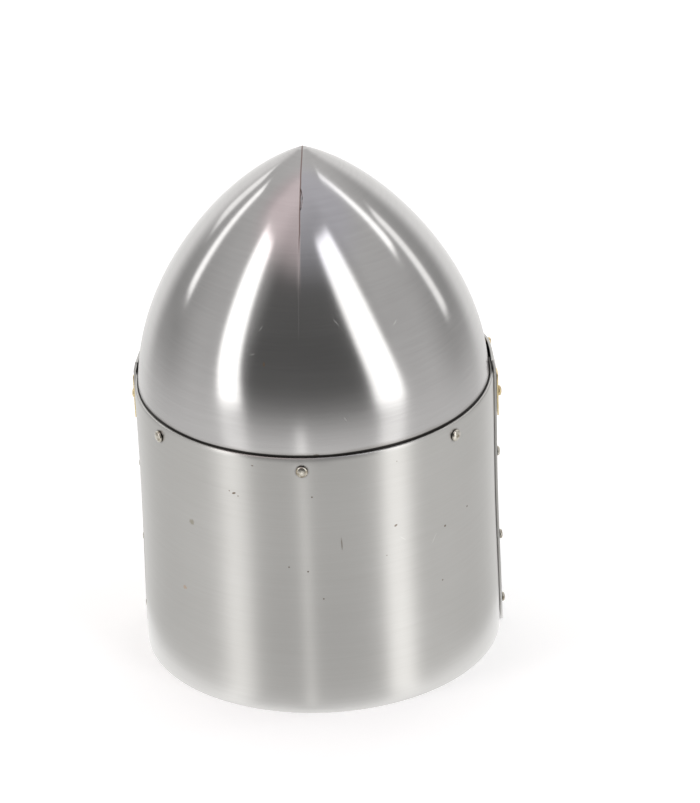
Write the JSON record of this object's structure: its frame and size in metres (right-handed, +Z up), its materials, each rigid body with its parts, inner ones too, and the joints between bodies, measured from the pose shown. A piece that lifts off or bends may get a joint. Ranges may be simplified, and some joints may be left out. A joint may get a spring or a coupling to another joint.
{
  "type": "great helm",
  "caption": "Enclosed steel helm with a pointed crown, a lapped and riveted back plate and face plate, a brass cross on the face, two sight slots and breath holes.",
  "frame": {"origin": "on the surface the helm stands on, under the middle of its outline", "axes": "+Z up to the point of the crown, -Y the way the face looks, +X towards the wearer's left"},
  "size_m": [0.2372, 0.2459, 0.3457],
  "materials": {
    "crown_steel": "satin polish with fine scratches round the crown",
    "plate_steel": "satin, brushed level round the body, with small brown stains and specks",
    "rivet_steel": "hammered and lightly tarnished",
    "brass": "satin polish"
  },
  "bodies": {
    "root": {"crown": "crown_steel", "back_plate": "plate_steel", "face_plate": "plate_steel", "brass_cross": "brass", "back_rivet_middle": "rivet_steel", "back_rivet_left": "rivet_steel", "back_rivet_right": "rivet_steel", "seam_rivet_left_1": "rivet_steel", "seam_rivet_left_2": "rivet_steel", "seam_rivet_left_3": "rivet_steel", "seam_rivet_right_1": "rivet_steel", "seam_rivet_right_2": "rivet_steel", "seam_rivet_right_3": "rivet_steel", "arm_end_rivet_left": "brass", "arm_end_rivet_right": "brass", "arm_rivet_left": "brass", "arm_rivet_right": "brass", "brow_rivet_left": "brass", "brow_rivet_right": "brass", "upright_rivet_top": "brass", "upright_rivet_middle": "brass", "upright_rivet_low": "brass", "upright_rivet_foot": "brass"}
  },
  "joints": []
}
